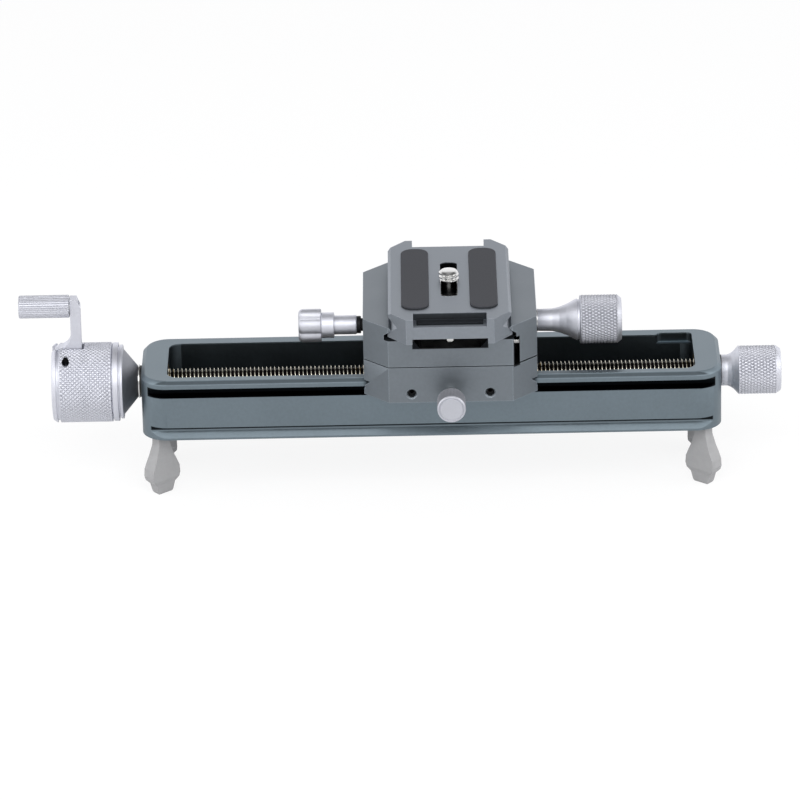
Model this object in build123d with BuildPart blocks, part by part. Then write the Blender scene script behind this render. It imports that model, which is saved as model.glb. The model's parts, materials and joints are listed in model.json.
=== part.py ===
from build123d import *
import math
import os

# Macro focusing rail. Millimetres, X along the rail, Y towards the back, Z up.
# The origin is the centre of the rail's underside, on the axis of the tripod socket.

# ---------------------------------------------------------------- fits
running_fit = 0.05
press_gap = 0.02
free_gap = 0.2

# ---------------------------------------------------------------- rail
rail_length = 179.0
rail_width = 35.6
slot_floor = 4.5
floor_to_screw = 8.0
screw_to_top = 7.0
rail_corner = 8.0
rail_top_chamfer = 1.2
end_wall = 8.1
front_wall = 3.6
rear_wall = 5.2
slot_corner = 3.6
lip_height = 2.5
groove_height = 3.0
groove_depth = 2.4
groove_bevel = 0.8
foot_edge = 0.65
foot_waist = 2.4
foot_top = 4.1
pocket_length = 11.0
pocket_depth = 1.5
pocket_height = 3.0
pocket_corner = 1.5

half_length = rail_length / 2
half_width = rail_width / 2
screw_height = slot_floor + floor_to_screw
rail_height = screw_height + screw_to_top
slot_end = half_length - end_wall
slot_front = half_width - front_wall
slot_back = half_width - rear_wall
groove_top = rail_height - lip_height
groove_floor = groove_top - groove_height
groove_wall = half_width - groove_depth
waist_wall = half_width - (foot_waist - foot_edge)

# sockets in the underside: the middle one takes a reducing bush
socket_radius = 4.76
side_socket_radius = 3.97
side_socket_x = 32.0
bush_bore = 2.6
bush_height = slot_floor - free_gap

# ---------------------------------------------------------------- lead screw
screw_radius = 3.9
thread_depth = 0.62
thread_pitch = 1.25
thread_runout = 1.4
bushing_radius = 5.4
seal_thickness = 0.75
seal_radius = 4.9
thread_half_length = slot_end - thread_runout

# ---------------------------------------------------------------- crank side, X of each shoulder
washer_thickness = 0.35
washer_radius = 5.2
hub_neck_radius = 4.7
hub_cone_length = 4.55
hub_cone_radius = 10.2
hub_lip_bevel = 0.1
hub_lip_width = 0.8
hub_lip_radius = 11.5
hub_groove_width = 0.55
hub_groove_radius = 10.9
hub_ring_width = 1.6
hub_ring_radius = 12.2
hub_seam_width = 0.35
hub_seam_radius = 11.4
hub_spigot_length = 0.5
knob_length = 18.5
knob_radius = 12.35
knob_bore = 8.2
rim_chamfer = 1.1
rim_edge_radius = 11.5
rim_land = 1.4
rim_groove_width = 0.8
rim_groove_radius = 11.6
screw_end_cover = 0.7

washer_end = -half_length - seal_thickness - 0.1
washer_start = washer_end - washer_thickness
hub_end = washer_start - running_fit
hub_cone_start = hub_end - hub_cone_length
hub_lip_end = hub_cone_start - hub_lip_bevel
hub_groove_end = hub_lip_end - hub_lip_width
hub_ring_end = hub_groove_end - hub_groove_width
hub_seam_end = hub_ring_end - hub_ring_width
knob_back = hub_seam_end - hub_seam_width
hub_spigot_start = knob_back - hub_spigot_length
knob_end = knob_back - knob_length
rim_groove_start = knob_end + rim_land
rim_groove_end = rim_groove_start + rim_groove_width
screw_left = knob_back + screw_end_cover

# folding crank: the pivot is in the rim of the hollow knob
pivot_inset = 4.45
pivot_rise = 9.8
pivot_radius = 1.1
pivot_play = 0.08
pivot_half_length = 4.6
lever_half_width = 1.9
lever_offset = 1.7
lever_thickness = 3.15
lever_corner_x = 1.1
lever_corner_z = 2.7
lever_eye_radius = 2.4
lever_shank_rise = 17.5
lever_foot = (
    (0.1, 15.6),
    (0.55, 14.4),
    (1.3, 13.4),
    (2.3, 12.75),
    (3.7, 12.2),
    (4.9, 11.85),
    (5.2, 11.3),
    (5.0, 10.2),
    (3.9, 8.6),
    (1.7, 8.3),
)
lever_heel_rise = 9.0
lever_slot_half = 2.2
handle_slot_half = 4.0
handle_reach = 15.8
handle_length = 15.55
handle_radius = 3.55
handle_flutes = 30
flute_radius = 0.26
axle_radius = 1.6
axle_head_radius = 2.6
axle_head_height = 1.0
axle_head_sunk = 0.3
axle_cap = 2.8

pivot_x = knob_end + pivot_inset
lever_left = pivot_x + lever_offset
lever_right = lever_left + lever_thickness
lever_slot_end = lever_right + 0.8
handle_rise = pivot_rise + handle_reach
handle_height = screw_height + handle_rise
lever_top_rise = handle_rise + axle_cap
handle_start = lever_left - free_gap
handle_end = handle_start - handle_length
axle_head_end = handle_end + axle_head_sunk + axle_head_height
# the folded handle lies below the screw's axis and reaches into a pocket of the hub
folded_rise = 2 * pivot_rise - handle_rise
pocket_top_rise = folded_rise + handle_radius + 0.45

# ---------------------------------------------------------------- right hand knob, X of each shoulder
right_knob_gap = 0.4
right_neck_length = 1.9
right_flare_length = 3.2
right_knurl_length = 11.7
right_knob_chamfer = 1.6
right_chamfer_depth = 1.0
right_neck_radius = 4.8
right_knob_radius = 7.5
right_screw_grip = 13.1

right_knob_start = half_length + right_knob_gap
right_neck_end = right_knob_start + right_neck_length
right_knurl_start = right_neck_end + right_flare_length
right_knurl_end = right_knurl_start + right_knurl_length
right_knob_end = right_knurl_end + right_knob_chamfer
screw_right = right_knob_start + right_screw_grip

# set screws that hold both hand wheels on the lead screw
knob_screw_radius = 1.25
knob_screw_sunk = 0.7
hub_screw_x = hub_end - 2.3
hub_screw_outer = 6.0
right_screw_x = right_knurl_start + 3.0
right_screw_outer = right_knob_radius - knob_screw_sunk

# ---------------------------------------------------------------- carriage
carriage_x = 6.0
block_size = 53.2
block_height = 11.5
corner_cut = 7.6
hook_thickness = 1.8
hook_clearance = 0.4
back_clearance = 0.15
gib_clearance = 0.07
gib_thickness = 1.33
gib_play = 0.1
gib_height = 2.05
gib_length = 36.0
relief_rise = 1.3
relief_depth = 1.6
tongue_half_length = 26.0
tongue_clearance = 0.3
tongue_floor_gap = 0.7
nut_radius = 5.4
nut_length = 12.0
nut_flange_radius = 6.6
nut_flange = 2.0
side_screw_rise = 1.0
set_screw_spacing = 24.0
set_screw_radius = 1.25
set_screw_tip = 0.95
set_screw_rim = 1.7
set_screw_rim_depth = 0.45
set_screw_sunk = 2.0
set_screw_socket = 0.72
set_screw_socket_depth = 1.6

block_half = block_size / 2
block_left = carriage_x - block_half
block_right = carriage_x + block_half
channel_roof = rail_height + free_gap
hook_top = groove_top - free_gap
hook_reach = half_width - groove_depth + hook_clearance
hook_bevel = groove_bevel * (half_width - hook_reach) / groove_depth
block_bottom = hook_top - hook_thickness
block_top = block_bottom + block_height
back_wall = half_width + back_clearance
gib_inner = half_width + gib_clearance
gib_outer = gib_inner + gib_thickness
gib_wall = gib_outer + gib_play
gib_bottom = hook_top + running_fit
relief_start = hook_top + relief_rise
relief_reach = gib_wall + relief_depth
tongue_bottom = slot_floor + tongue_floor_gap
side_screw_height = gib_bottom + side_screw_rise
set_screw_outer = block_half - set_screw_sunk

# lock knob on the front of the carriage
lock_gap = 5.8
lock_length = 6.8
lock_radius = 4.36
lock_groove_radius = 3.5
lock_groove_width = 0.3
lock_groove_depth = 0.15
lock_stem_radius = 2.0
lock_tip_radius = 0.8

lock_back = block_half + lock_gap
lock_face = lock_back + lock_length

# ---------------------------------------------------------------- swivel between carriage and clamp
hub_radius = 6.5
hub_flange_radius = 9.0
hub_flange = 2.0
hub_rise = 5.3
slip_inner = 12.0
slip_outer = 18.0
slip_sunk = 0.5
slip_proud = 0.27
hub_washer_radius = 9.0
hub_washer_thickness = 1.4
bolt_radius = 2.5
bolt_reach = 6.0
bolt_head_radius = 4.6
bolt_head_height = 2.2
bolt_socket = 1.73
bolt_socket_depth = 1.3

hub_top = block_top + hub_rise
slip_seat = block_top - slip_sunk
slip_top = block_top + slip_proud
hub_washer_top = hub_top + hub_washer_thickness
bolt_bottom = block_top - bolt_reach
bolt_head_top = hub_washer_top + bolt_head_height

# ---------------------------------------------------------------- clamp
clamp_lift = 0.03
channel_rise = 6.1
channel_depth = 2.5
channel_half_bottom = 9.3
channel_half_top = 11.3
jaw_lip_height = 0.7
jaw_root_rise = 1.6
jaw_crown_inset = 0.7
jaw_side_inset = 0.85
jaw_inner_inset = 0.95
jaw_lift = 0.15
guide_pin_radius = 1.5
guide_pin_y = 16.0
guide_pin_depth = 17.6
guide_pin_cover = 1.2
clamp_screw_rise = 3.7
clamp_screw_radius = 3.0
clamp_screw_depth = 15.4
clamp_screw_grip = 16.65
jaw_washer_radius = 3.6

# dovetail of the camera plate, in mm from the middle of the clamp and from the clamp's floor
dovetail_angle = 43.0
dovetail_gap = 0.07
plate_flange = 19.0
plate_lift = 1.2
plate_flange_height = 1.5
plate_waist_rise = 2.7
plate_shoulder_rise = 2.4
plate_rim_height = 1.5
plate_shoulder_inset = 0.2
plate_crown_inset = 0.8

clamp_bottom = slip_top + clamp_lift
channel_floor = clamp_bottom + channel_rise
clamp_floor = channel_floor + channel_depth
flank_run = 1 / math.tan(math.radians(dovetail_angle))
plate_bottom = clamp_floor + plate_lift
plate_flange_top = plate_bottom + plate_flange_height
plate_waist_height = plate_flange_top + plate_waist_rise
plate_waist = plate_flange - plate_waist_rise * flank_run
plate_shoulder_low = plate_waist_height + plate_shoulder_rise
plate_top = plate_shoulder_low + plate_rim_height
plate_shoulder = plate_flange - plate_shoulder_inset
plate_crown = plate_shoulder - plate_crown_inset
jaw_root_height = clamp_floor + jaw_root_rise
jaw_tip_height = plate_flange_top + 1.0
jaw_root = plate_flange + dovetail_gap + (plate_flange_top - jaw_root_height) * flank_run
jaw_tip = plate_flange + dovetail_gap + (plate_flange_top - jaw_tip_height) * flank_run
jaw_crown = jaw_tip + jaw_crown_inset
clamp_top = jaw_tip_height + jaw_lip_height
jaw_side = jaw_root - jaw_side_inset
jaw_inner = jaw_root + jaw_inner_inset
jaw_bottom = clamp_bottom + jaw_lift
jaw_shelf = clamp_floor + free_gap
guide_pin_start = block_right - guide_pin_depth
guide_pin_end = block_right - guide_pin_cover
clamp_screw_height = clamp_bottom + clamp_screw_rise
clamp_screw_start = block_right - clamp_screw_depth

# clamp knob, X of each shoulder
clamp_knob_gap = 0.55
clamp_neck_length = 4.55
clamp_flare_length = 7.7
clamp_groove_width = 0.8
clamp_knurl_length = 11.6
clamp_knob_chamfer = 1.3
clamp_chamfer_depth = 1.1
clamp_neck_radius = 3.4
clamp_flare_radius = 6.5
clamp_groove_radius = 6.2
clamp_knob_radius = 7.5

clamp_knob_start = block_right + clamp_knob_gap
clamp_neck_end = clamp_knob_start + clamp_neck_length
clamp_groove_start = clamp_neck_end + clamp_flare_length
clamp_knurl_start = clamp_groove_start + clamp_groove_width
clamp_knurl_end = clamp_knurl_start + clamp_knurl_length
clamp_knob_end = clamp_knurl_end + clamp_knob_chamfer
clamp_screw_end = clamp_knob_start + clamp_screw_grip

# swivel lock with a winged knob, X of each shoulder
wing_rise = 3.3
wing_gap = 0.75
o_ring_width = 1.3
o_ring_radius = 2.7
collar_length = 7.0
collar_radius = 2.95
barrel_length = 3.95
barrel_radius = 3.95
wing_length = 7.1
wing_reach = 5.15
wing_lobe = 2.3
wing_waist = 3.2
wing_turn = 15.0
wing_screw_radius = 2.0
wing_screw_cover = 2.7
shoe_radius = 1.2
shoe_length = 3.4

wing_height = clamp_bottom + wing_rise
o_ring_end = block_left - wing_gap
collar_end = o_ring_end - o_ring_width
barrel_end = collar_end - collar_length
wing_end = barrel_end - barrel_length
wing_start = wing_end - wing_length
wing_screw_start = wing_start + wing_screw_cover
shoe_end = carriage_x - hub_radius - 0.1
shoe_start = shoe_end - shoe_length

# ---------------------------------------------------------------- camera plate
plate_length = 64.7
plate_edge_bevel = 0.8
plate_corner_x = 5.6
plate_corner_y = 6.7
notch_half = 11.2
notch_depth = 5.35
notch_drop = 2.5
ledge_front = 1.75
ledge_slot_half = 10.2
ledge_slot_depth = 1.3
ledge_undercut = 0.9
ledge_undercut_height = 0.5
under_half = 11.5
under_depth = 1.7
screw_slot_half = 2.65
screw_slot_length = 27.5
screw_slot_corner = 1.4
head_pocket_half = 7.0
head_pocket_length = 42.0
head_pocket_corner = 3.0
slot_web = 2.8
pad_width = 8.5
pad_length = 48.2
pad_corner = 3.6
pad_offset = 10.5
pad_seat = 0.8
pad_proud = 0.6
pad_edge = 0.3
stop_pin_y = 25.0
stop_pin_radius = 1.5
stop_stud_radius = 1.1
stop_stud_length = 1.9
stop_pin_length = 3.9
stop_pin_round = 0.9

half_plate = plate_length / 2
notch_wall = half_plate - notch_depth
ledge_inner = half_plate - ledge_front
ledge_top = plate_top - notch_drop
ledge_slot_floor = ledge_top - ledge_slot_depth
under_roof = plate_bottom + under_depth
head_pocket_roof = plate_top - slot_web
stop_pin_bottom = under_roof - stop_pin_length

# camera screw
camera_head_height = 2.6
camera_head_radius = 6.4
camera_head_gap = 0.3
camera_neck_radius = 2.5
camera_neck_rise = 0.1
camera_thread_length = 2.9
camera_thread_radius = 3.1
camera_tip_bevel = 0.6
d_ring_outer = 5.4
d_ring_inner = 4.0
d_ring_bar = 1.2
d_ring_thickness = 1.0

camera_head_top = head_pocket_roof - camera_head_gap
camera_head_bottom = camera_head_top - camera_head_height
camera_thread_start = plate_top + camera_neck_rise
camera_thread_top = camera_thread_start + camera_thread_length

# ---------------------------------------------------------------- screw-in feet
foot_inset_x = 5.6
foot_inset_y = 5.4
foot_stud_radius = 2.0
foot_stud_length = 8.0
foot_blank_half = 8.0
front_foot_turn = 40.0
rear_foot_turn = 70.0
foot_bottom = -19.5
foot_front = (
    (2.0, -0.05),
    (2.1, -3.2),
    (3.3, -7.0),
    (5.1, -11.1),
    (5.3, -13.5),
    (4.8, -15.0),
    (3.5, -16.3),
    (2.9, -18.6),
    (2.5, foot_bottom),
)
foot_side = (
    (1.7, -0.05),
    (1.8, -4.0),
    (2.3, -9.0),
    (2.3, -14.8),
    (1.8, -16.2),
    (1.6, -19.0),
    (1.3, foot_bottom),
)

foot_x = half_length - foot_inset_x
foot_y = half_width - foot_inset_y


def side_plane(y, z):
    """Plane facing the front, its first axis along X and its second along Z."""
    return Plane(origin=(0, y, z), x_dir=(1, 0, 0), z_dir=(0, -1, 0))


def end_plane(x, y, z):
    """Plane facing along X, its first axis along Y and its second along Z."""
    return Plane(origin=(x, y, z), x_dir=(0, 1, 0), z_dir=(1, 0, 0))


def turned(profile, y, z):
    """Revolve a closed profile of (X, radius) points about an axis along X."""
    with BuildSketch(side_plane(y, z)) as section:
        with BuildLine():
            Polyline(*profile, close=True)
        make_face()
    revolve(section.sketch, axis=Axis((0, y, z), (1, 0, 0)))


def rod(radius, x0, x1, y, z, mode=Mode.ADD):
    """Round bar or hole along X."""
    with BuildSketch(end_plane(x0, y, z)) as section:
        Circle(radius)
    extrude(section.sketch, amount=x1 - x0, mode=mode)


def post(radius, z0, z1, x, y, mode=Mode.ADD):
    """Round bar or hole along Z."""
    with BuildSketch(Plane.XY.offset(z0)) as section:
        with Locations((x, y)):
            Circle(radius)
    extrude(section.sketch, amount=z1 - z0, mode=mode)


def cross_bar(radius, y0, y1, x, z, mode=Mode.ADD):
    """Round bar or hole along Y, from y0 up to y1."""
    with BuildSketch(Plane(origin=(x, y0, z), x_dir=(0, 0, 1), z_dir=(0, 1, 0))) as section:
        Circle(radius)
    extrude(section.sketch, amount=y1 - y0, mode=mode)


def block(x0, x1, y0, y1, z0, z1, mode=Mode.ADD):
    """Rectangular block or pocket between two corners."""
    with BuildSketch(Plane.XY.offset(z0)) as section:
        with Locations(((x0 + x1) / 2, (y0 + y1) / 2)):
            Rectangle(x1 - x0, y1 - y0)
    extrude(section.sketch, amount=z1 - z0, mode=mode)


def side_cuts(*profile):
    """Cut a closed profile of (Y, Z) points into the back of the rail and its mirror image into the front."""
    for side in (-1, 1):
        with BuildSketch(end_plane(-half_length - 1, 0, 0)) as section:
            with BuildLine():
                Polyline(*[(side * y, z) for y, z in profile], close=True)
            make_face()
        extrude(section.sketch, amount=rail_length + 2, mode=Mode.SUBTRACT)


def octagon(z0, z1, mode=Mode.ADD):
    """Square block with cut corners, centred on the carriage."""
    inner = block_half - corner_cut
    corners = [
        (block_left, -inner),
        (carriage_x - inner, -block_half),
        (carriage_x + inner, -block_half),
        (block_right, -inner),
        (block_right, inner),
        (carriage_x + inner, block_half),
        (carriage_x - inner, block_half),
        (block_left, inner),
    ]
    with BuildSketch(Plane.XY.offset(z0)) as section:
        with BuildLine():
            Polyline(*corners, close=True)
        make_face()
    extrude(section.sketch, amount=z1 - z0, mode=mode)


def finish(part, name):
    """Name a finished piece and write it to its own file."""
    part.label = name
    export_step(part, f"parts/{name}.step")


os.makedirs("parts", exist_ok=True)

# ================================================================ rail
with BuildPart() as rail_body:
    with BuildSketch(Plane.XY):
        RectangleRounded(rail_length, rail_width, rail_corner)
    extrude(amount=rail_height)
    chamfer(faces().sort_by(Axis.Z)[-1].outer_wire().edges(), length=rail_top_chamfer)
    # long slot for the screw and the carriage's tongue
    with BuildSketch(Plane.XY.offset(slot_floor)):
        with Locations((0, (slot_back - slot_front) / 2)):
            RectangleRounded(2 * slot_end, slot_front + slot_back, slot_corner)
    extrude(amount=rail_height - slot_floor, mode=Mode.SUBTRACT)
    # side grooves under the guiding lips, narrower at the bottom
    side_cuts(
        (half_width + 1, groove_top),
        (half_width, groove_top),
        (groove_wall, groove_top - groove_bevel),
        (groove_wall, groove_floor + groove_bevel),
        (half_width, groove_floor),
        (half_width + 1, groove_floor),
    )
    # waist over the sloping flanks of the foot
    side_cuts(
        (half_width + 1, foot_edge),
        (half_width, foot_edge),
        (waist_wall, foot_waist),
        (waist_wall, foot_top),
        (half_width + 1, foot_top),
    )
    # shallow pocket at the right end of the slot's back wall
    with BuildSketch(Plane.XY.offset(rail_height - pocket_height)):
        with Locations((slot_end - pocket_length / 2, slot_back + (pocket_depth - slot_corner) / 2)):
            RectangleRounded(pocket_length, pocket_depth + slot_corner, pocket_corner)
    extrude(amount=pocket_height, mode=Mode.SUBTRACT)
    # bearing holes in the end walls
    rod(bushing_radius + press_gap, -half_length, half_length, 0, screw_height, mode=Mode.SUBTRACT)
    # sockets in the underside
    post(socket_radius, 0, slot_floor, 0, 0, mode=Mode.SUBTRACT)
    for side in (-1, 1):
        post(side_socket_radius, 0, slot_floor, side * side_socket_x, 0, mode=Mode.SUBTRACT)
    for x in (-foot_x, foot_x):
        for y in (-foot_y, foot_y):
            post(foot_stud_radius + running_fit, 0, foot_stud_length + 1, x, y, mode=Mode.SUBTRACT)
finish(rail_body.part, "rail_body")

with BuildPart() as screw_bushings:
    for x0, x1 in ((-half_length, -slot_end), (slot_end, half_length)):
        rod(bushing_radius, x0, x1, 0, screw_height)
    rod(screw_radius + running_fit, -half_length, half_length, 0, screw_height, mode=Mode.SUBTRACT)
finish(screw_bushings.part, "screw_bushings")

with BuildPart() as seal_rings:
    rod(seal_radius, -half_length - seal_thickness, -half_length, 0, screw_height)
    rod(seal_radius, half_length, right_knob_start - running_fit, 0, screw_height)
    rod(screw_radius + running_fit, -half_length - 1, half_length + 1, 0, screw_height, mode=Mode.SUBTRACT)
finish(seal_rings.part, "seal_rings")

with BuildPart() as tripod_bush:
    post(socket_radius - press_gap, 0, bush_height, 0, 0)
    post(bush_bore, 0, bush_height, 0, 0, mode=Mode.SUBTRACT)
finish(tripod_bush.part, "tripod_bush")

# ================================================================ lead screw and its hand wheels
thread_profile = [(screw_left, 0), (screw_left, screw_radius)]
thread_count = int(2 * thread_half_length / thread_pitch)
for turn in range(thread_count):
    crest = -thread_half_length + turn * thread_pitch
    thread_profile.append((crest, screw_radius))
    thread_profile.append((crest + 0.44 * thread_pitch, screw_radius - thread_depth))
    thread_profile.append((crest + 0.56 * thread_pitch, screw_radius - thread_depth))
thread_profile.append((thread_half_length, screw_radius))
thread_profile.append((screw_right, screw_radius))
thread_profile.append((screw_right, 0))
with BuildPart() as lead_screw:
    turned(thread_profile, 0, screw_height)
finish(lead_screw.part, "lead_screw")

with BuildPart() as crank_knob:
    turned(
        [
            (knob_end, 0),
            (knob_end, rim_edge_radius),
            (knob_end + rim_chamfer, knob_radius),
            (rim_groove_start, knob_radius),
            (rim_groove_start, rim_groove_radius),
            (rim_groove_end, rim_groove_radius),
            (rim_groove_end, knob_radius),
            (knob_back - 0.3, knob_radius),
            (knob_back, knob_radius - 0.3),
            (knob_back, 0),
        ],
        0,
        screw_height,
    )
    rod(knob_bore, knob_end, knob_back, 0, screw_height, mode=Mode.SUBTRACT)
    # slot in the rim for the lever and a longer one opposite, through which the handle swings in
    block(knob_end - 1, lever_slot_end, -lever_slot_half, lever_slot_half,
          screw_height, screw_height + knob_radius + 1, mode=Mode.SUBTRACT)
    block(knob_end - 1, knob_back + 1, -handle_slot_half, handle_slot_half,
          screw_height - knob_radius - 1, screw_height, mode=Mode.SUBTRACT)
    cross_bar(pivot_radius + press_gap, -knob_radius, knob_radius, pivot_x,
              screw_height + pivot_rise, mode=Mode.SUBTRACT)
finish(crank_knob.part, "crank_knob")

with BuildPart() as crank_hub:
    turned(
        [
            (hub_spigot_start, 0),
            (hub_spigot_start, knob_bore - press_gap),
            (knob_back, knob_bore - press_gap),
            (knob_back, hub_seam_radius),
            (hub_seam_end, hub_seam_radius),
            (hub_seam_end, hub_ring_radius),
            (hub_ring_end, hub_ring_radius),
            (hub_ring_end, hub_groove_radius),
            (hub_groove_end, hub_groove_radius),
            (hub_groove_end, hub_lip_radius),
            (hub_lip_end, hub_lip_radius),
            (hub_cone_start, hub_cone_radius),
            (hub_end, hub_neck_radius),
            (hub_end, 0),
        ],
        0,
        screw_height,
    )
    rod(screw_radius + press_gap, screw_left - running_fit, hub_end, 0, screw_height, mode=Mode.SUBTRACT)
    cross_bar(knob_screw_radius + press_gap, screw_radius, hub_ring_radius,
              hub_screw_x, screw_height, mode=Mode.SUBTRACT)
    # pocket for the end of the folded handle
    block(hub_spigot_start - 1, hub_seam_end, -handle_slot_half, handle_slot_half,
          screw_height - knob_radius - 1, screw_height + pocket_top_rise, mode=Mode.SUBTRACT)
finish(crank_hub.part, "crank_hub")

with BuildPart() as thrust_washer:
    rod(washer_radius, washer_start, washer_end, 0, screw_height)
    rod(screw_radius + press_gap, washer_start, washer_end, 0, screw_height, mode=Mode.SUBTRACT)
finish(thrust_washer.part, "thrust_washer")

with BuildPart() as right_knob:
    turned(
        [
            (right_knob_start, 0),
            (right_knob_start, right_neck_radius),
            (right_neck_end, right_neck_radius),
            (right_neck_end + 0.375 * right_flare_length, right_neck_radius + 0.5),
            (right_neck_end + 0.6875 * right_flare_length, right_neck_radius + 1.3),
            (right_knurl_start, right_knob_radius - 0.3),
            (right_knurl_start + 0.3, right_knob_radius),
            (right_knurl_end, right_knob_radius),
            (right_knob_end, right_knob_radius - right_chamfer_depth),
            (right_knob_end, 0),
        ],
        0,
        screw_height,
    )
    rod(screw_radius + press_gap, right_knob_start, screw_right + free_gap,
        0, screw_height, mode=Mode.SUBTRACT)
    cross_bar(knob_screw_radius + press_gap, screw_radius, right_knob_radius + 1,
              right_screw_x, screw_height, mode=Mode.SUBTRACT)
finish(right_knob.part, "right_knob")

with BuildPart() as knob_set_screws:
    for x, outer in ((hub_screw_x, hub_screw_outer), (right_screw_x, right_screw_outer)):
        cross_bar(knob_screw_radius, screw_radius + press_gap, outer, x, screw_height)
finish(knob_set_screws.part, "knob_set_screws")

with BuildPart() as crank_pin:
    cross_bar(pivot_radius, -pivot_half_length, pivot_half_length, pivot_x, screw_height + pivot_rise)
finish(crank_pin.part, "crank_pin")

# ================================================================ folding crank
with BuildPart() as crank_lever:
    with BuildSketch(side_plane(lever_half_width, screw_height)):
        with BuildLine():
            Polyline(
                (lever_right, lever_heel_rise),
                (lever_right, lever_top_rise - lever_corner_z),
                (lever_right - lever_corner_x, lever_top_rise),
                (lever_left, lever_top_rise),
                (lever_left, lever_shank_rise),
                *[(lever_left - inset, rise) for inset, rise in lever_foot],
                close=True,
            )
        make_face()
        with Locations((pivot_x, pivot_rise)):
            Circle(lever_eye_radius)
    extrude(amount=2 * lever_half_width)
    cross_bar(pivot_radius + pivot_play, -lever_half_width, lever_half_width, pivot_x,
              screw_height + pivot_rise, mode=Mode.SUBTRACT)
    rod(axle_radius + press_gap, lever_left, lever_right, 0, handle_height, mode=Mode.SUBTRACT)
finish(crank_lever.part, "crank_lever")

with BuildPart() as handle_axle:
    rod(axle_radius, axle_head_end, lever_right, 0, handle_height)
    rod(axle_head_radius, axle_head_end - axle_head_height, axle_head_end, 0, handle_height)
finish(handle_axle.part, "handle_axle")

with BuildPart() as handle_sleeve:
    rod(handle_radius, handle_end, handle_start, 0, handle_height)
    rod(axle_radius + running_fit, handle_end, handle_start, 0, handle_height, mode=Mode.SUBTRACT)
    rod(axle_head_radius + 0.1, handle_end, axle_head_end + 0.1, 0, handle_height, mode=Mode.SUBTRACT)
    with BuildSketch(end_plane(handle_end, 0, handle_height)):
        with PolarLocations(handle_radius + 0.05, handle_flutes):
            Circle(flute_radius)
    extrude(amount=handle_start - handle_end, mode=Mode.SUBTRACT)
finish(handle_sleeve.part, "handle_sleeve")

# ================================================================ carriage
with BuildPart() as carriage_block:
    octagon(block_bottom, block_top)
    # guide channel over the rail's lips, with a relief behind the gib
    with BuildSketch(end_plane(block_left, 0, 0)):
        with BuildLine():
            Polyline(
                (-hook_reach, block_bottom - 1),
                (-hook_reach, hook_top - hook_bevel),
                (-half_width, hook_top),
                (-gib_wall, hook_top),
                (-gib_wall, relief_start),
                (-relief_reach, channel_roof),
                (back_wall, channel_roof),
                (back_wall, hook_top),
                (half_width, hook_top),
                (hook_reach, hook_top - hook_bevel),
                (hook_reach, block_bottom - 1),
                close=True,
            )
        make_face()
    extrude(amount=block_size, mode=Mode.SUBTRACT)
    # tongue in the rail's slot
    tongue_width = slot_front + slot_back - 2 * tongue_clearance
    with BuildSketch(Plane.XY.offset(tongue_bottom)):
        with Locations((carriage_x, (slot_back - slot_front) / 2)):
            RectangleRounded(2 * tongue_half_length, tongue_width, slot_corner)
    extrude(amount=channel_roof + 1 - tongue_bottom)
    rod(screw_radius + 0.5, block_left, block_right, 0, screw_height, mode=Mode.SUBTRACT)
    for side in (-1, 1):
        end = carriage_x + side * tongue_half_length
        step = end - side * nut_flange
        rod(nut_flange_radius + press_gap, min(end, step), max(end, step),
            0, screw_height, mode=Mode.SUBTRACT)
        deep = end - side * nut_length
        rod(nut_radius + press_gap, min(end, deep), max(end, deep),
            0, screw_height, mode=Mode.SUBTRACT)
    # side screws: two set screws on the gib and the lock knob between them
    for x in (carriage_x - set_screw_spacing / 2, carriage_x + set_screw_spacing / 2):
        cross_bar(set_screw_radius + press_gap, -block_half, -gib_wall,
                  x, side_screw_height, mode=Mode.SUBTRACT)
        with BuildSketch(side_plane(-block_half, side_screw_height)):
            with Locations((x, 0)):
                Circle(set_screw_rim)
        extrude(amount=-set_screw_rim_depth, taper=45, mode=Mode.SUBTRACT)
    cross_bar(lock_stem_radius + running_fit, -block_half, -relief_reach - free_gap,
              carriage_x, side_screw_height, mode=Mode.SUBTRACT)
    cross_bar(lock_tip_radius + 2 * running_fit, -relief_reach - 0.3, -gib_wall,
              carriage_x, side_screw_height, mode=Mode.SUBTRACT)
    # seats for the swivel
    post(hub_flange_radius + press_gap, block_top - hub_flange, block_top, carriage_x, 0, mode=Mode.SUBTRACT)
    post(bolt_radius + press_gap, bolt_bottom - free_gap, block_top, carriage_x, 0, mode=Mode.SUBTRACT)
    with BuildSketch(Plane.XY.offset(slip_seat)):
        with Locations((carriage_x, 0)):
            Circle(slip_outer + press_gap)
            Circle(slip_inner - press_gap, mode=Mode.SUBTRACT)
    extrude(amount=block_top - slip_seat, mode=Mode.SUBTRACT)
finish(carriage_block.part, "carriage_block")

with BuildPart() as drive_nuts:
    for side in (-1, 1):
        end = carriage_x + side * tongue_half_length
        step = end - side * nut_flange
        deep = end - side * nut_length
        rod(nut_flange_radius, min(end, step), max(end, step), 0, screw_height)
        rod(nut_radius, min(end, deep), max(end, deep), 0, screw_height)
    rod(screw_radius + running_fit, carriage_x - tongue_half_length, carriage_x + tongue_half_length,
        0, screw_height, mode=Mode.SUBTRACT)
finish(drive_nuts.part, "drive_nuts")

with BuildPart() as gib_strip:
    block(carriage_x - gib_length / 2, carriage_x + gib_length / 2, -gib_outer, -gib_inner,
          gib_bottom, gib_bottom + gib_height)
finish(gib_strip.part, "gib_strip")

with BuildPart() as gib_set_screws:
    for x in (carriage_x - set_screw_spacing / 2, carriage_x + set_screw_spacing / 2):
        cross_bar(set_screw_radius, -set_screw_outer, -gib_wall - 0.3, x, side_screw_height)
        cross_bar(set_screw_tip, -gib_wall - 0.3, -gib_outer - press_gap, x, side_screw_height)
        # hexagon socket
        with BuildSketch(side_plane(-set_screw_outer, side_screw_height)):
            with Locations((x, 0)):
                RegularPolygon(set_screw_socket, 6)
        extrude(amount=-set_screw_socket_depth, mode=Mode.SUBTRACT)
finish(gib_set_screws.part, "gib_set_screws")

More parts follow.
